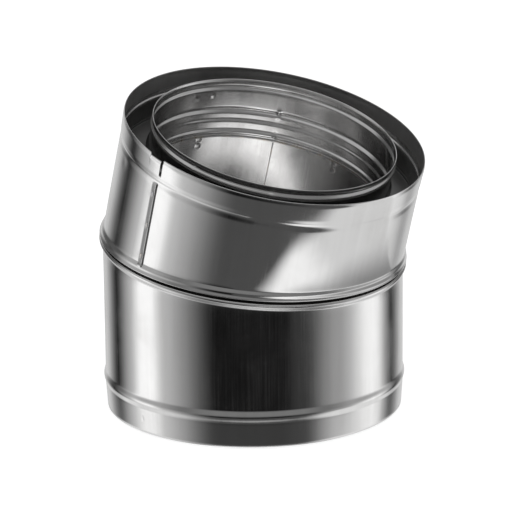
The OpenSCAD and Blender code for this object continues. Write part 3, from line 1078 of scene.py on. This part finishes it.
def build_world():
    """Plain white to the camera, the panels to everything else."""
    world = bpy.data.worlds.new("studio")
    scene.world = world
    world.use_nodes = True
    g = Nodes(world.node_tree)
    direction = g.add("ShaderNodeTexCoord").outputs["Generated"]

    def along(vector):
        node = g.add("ShaderNodeVectorMath", {0: direction, 1: tuple(vector)},
                     operation="DOT_PRODUCT")
        return node.outputs["Value"]

    toward_camera = Vector((-forward.x, -forward.y, 0)).normalized()
    bearing = g.math("ARCTAN2", along(right), along(toward_camera))
    bearing = g.math("MULTIPLY", bearing, degrees(1))
    height = g.math("ARCSINE", along((0, 0, 1)))
    elevation = g.math("MULTIPLY", height, degrees(1))
    wall = panel_band(g, bearing, WALL_PANELS, WALL_BASE, LOW_BACK)
    floor = panel_band(g, bearing, FLOOR_PANELS, FLOOR_BASE, LOW_BACK)
    high = panel_band(g, bearing, HIGH_PANELS, HIGH_BASE, HIGH_BACK)
    low = g.mix(between(g, elevation, *FLOOR_TO_WALL), floor, wall)
    under = panel_band(g, bearing, STEEP_PANELS, STEEP_BASE, LOW_BACK)
    steep = g.mix(between(g, elevation, *STEEP_TO_FLOOR), under, low)
    tall = g.mix(between(g, elevation, *WALL_TO_HIGH), steep, high)
    full = g.mix(between(g, elevation, *HIGH_TO_ZENITH), tall, grey(ZENITH))
    light = g.add("ShaderNodeBackground", {"Color": full, "Strength": 1.0})
    white = g.add("ShaderNodeBackground", {"Color": grey(1.0), "Strength": 1.0})
    seen = g.add("ShaderNodeLightPath").outputs["Is Camera Ray"]
    both = g.add("ShaderNodeMixShader", {0: seen, 1: light.outputs[0],
                                         2: white.outputs[0]})
    g.finish(both, "ShaderNodeOutputWorld")


build_world()


def paper(name, base, glow):
    """Pale studio paper, faintly mottled."""
    material, g = new_material(name)
    mottle = g.noise(g.add("ShaderNodeTexCoord").outputs["Object"], 3.0, 2.0)
    tone = g.mix(mottle, grey(base), grey(base * 0.985))
    shader = g.add("ShaderNodeBsdfPrincipled", {
        "Base Color": tone, "Roughness": 0.9, "Emission Color": grey(1.0),
        "Emission Strength": glow})
    g.finish(shader)
    return material


def glow_material(name, pattern):
    """Light from one side of a card, its strength from pattern(g, x, y) in
    millimetres, x to the camera's right and y toward the camera."""
    material, g = new_material(name)
    where = g.add("ShaderNodeSeparateXYZ", {
        0: g.scaled(g.add("ShaderNodeTexCoord").outputs["Object"],
                    (1000.0, -1000.0, 1000.0))})
    strength = pattern(g, where.outputs["X"], where.outputs["Y"])
    light = g.add("ShaderNodeEmission", {"Color": grey(1.0),
                                         "Strength": strength})
    clear = g.add("ShaderNodeBsdfTransparent")
    back = g.add("ShaderNodeNewGeometry").outputs["Backfacing"]
    both = g.add("ShaderNodeMixShader", {0: back, 1: light.outputs[0],
                                         2: clear.outputs[0]})
    g.finish(both)
    return material


def stage_sheet(name, points, level, material):
    """A flat stage piece facing up, from points (to the camera's right, toward
    the camera) in millimetres, clockwise."""
    mesh = bpy.data.meshes.new(name)
    mesh.from_pydata([(x * MM, -y * MM, 0.0) for x, y in points], [],
                     [tuple(range(len(points)))])
    mesh.materials.append(material)
    obj = bpy.data.objects.new(name, mesh)
    scene.collection.objects.link(obj)
    away = Vector((forward.x, forward.y, 0)).normalized()
    turned_to = Matrix((right, away, Vector((0, 0, 1)))).transposed().to_4x4()
    obj.matrix_world = Matrix.Translation((0, 0, level * MM)) @ turned_to
    return obj


def circle_points(radius, count=96):
    a = np.linspace(0, 2 * pi, count, endpoint=False)
    return [(radius * cos(t), -radius * sin(t)) for t in a]


# Two glow cards that only reflections see. They stand for no real lamp: their
# places, shapes and strengths were set so that the mirror images in
# the flue and on the upper leg look as in the photo.
GLOW_AT, GLOW_REACH = (3.0, 8.0), (0.42 * LINER_R, 0.62 * LINER_R)
GLOW_TOP, GLOW_BASE = 2.7, 0.12
CARD_LEVEL = LOWER_H - 18.0
CARD_CORNER = (50.0, 196.0)
CARD_LEAN = 41.0
CARD_LEFT_EDGE, CARD_FAR_EDGE = (-14.0, 16.0), (212.0, 172.0)
CARD_BRIGHT, CARD_DROP, CARD_DROP_X = 1.32, -0.4, (60.0, 110.0)
FOOT_SHADE = 0.35
CARD_HOLE_R, CARD_HOLE_FROM, CARD_HOLE_TO = CASING_R + 8.5, 72, -13


def under_flue(g, x, y):
    """A round glow below the flue, brightest in the middle."""
    across, along = (
        g.math("MULTIPLY", g.math("SUBTRACT", value, at), 1 / reach)
        for value, at, reach in zip((x, y), GLOW_AT, GLOW_REACH))
    return g.math("MULTIPLY_ADD", between(g, g.length(across, along), 1.5, 0.1),
                  GLOW_TOP, GLOW_BASE)


def side_card(g, x, y):
    """The glow that the upper leg mirrors: a slanting left edge, a far edge
    across the view, and a soft shadow round the foot of the leg."""
    n = (cos(radians(CARD_LEAN)), -sin(radians(CARD_LEAN)))
    off = g.math("ADD", *(
        g.math("MULTIPLY", g.math("SUBTRACT", value, at), part)
        for value, at, part in zip((x, y), CARD_CORNER, n)))
    left = between(g, off, *CARD_LEFT_EDGE)
    far = between(g, y, *CARD_FAR_EDGE)
    shade_to = g.math("MULTIPLY_ADD", g.math("MAXIMUM", x, 0.0), 0.3,
                      CASING_R + 14.0)
    shade = g.math("MULTIPLY_ADD",
                   between(g, g.length(x, y), CASING_R + 8, shade_to),
                   1 - FOOT_SHADE, FOOT_SHADE)
    level = g.math("MULTIPLY_ADD", between(g, x, *CARD_DROP_X), CARD_DROP,
                   CARD_BRIGHT)
    lit = g.math("MULTIPLY", g.math("MULTIPLY", left, far),
                 g.math("MULTIPLY", shade, level))
    return g.math("MAXIMUM", lit, FLOOR_BASE)


floor = stage_sheet("studio_floor", circle_points(12000.0), -0.4,
                    paper("floor_paper", 0.8, 0.75))
floor.visible_glossy = False  # reflections see the panels and cards instead
table = stage_sheet("table_under_flue", circle_points(LINER_R - 3), -0.2,
                    glow_material("table_glow", under_flue))
card_foot = [(CARD_HOLE_R * sin(t), CARD_HOLE_R * cos(t)) for t in
             np.linspace(radians(CARD_HOLE_FROM), radians(CARD_HOLE_TO), 40)]
card = stage_sheet("side_card", [(-30, 300), (420, 300), (420, 40)] + card_foot,
                   CARD_LEVEL, glow_material("card_glow", side_card))
for hidden in (table, card):
    hidden.visible_camera = False
    hidden.visible_diffuse = False
    hidden.visible_shadow = False

scene.view_settings.view_transform = "Standard"
scene.view_settings.look = "None"
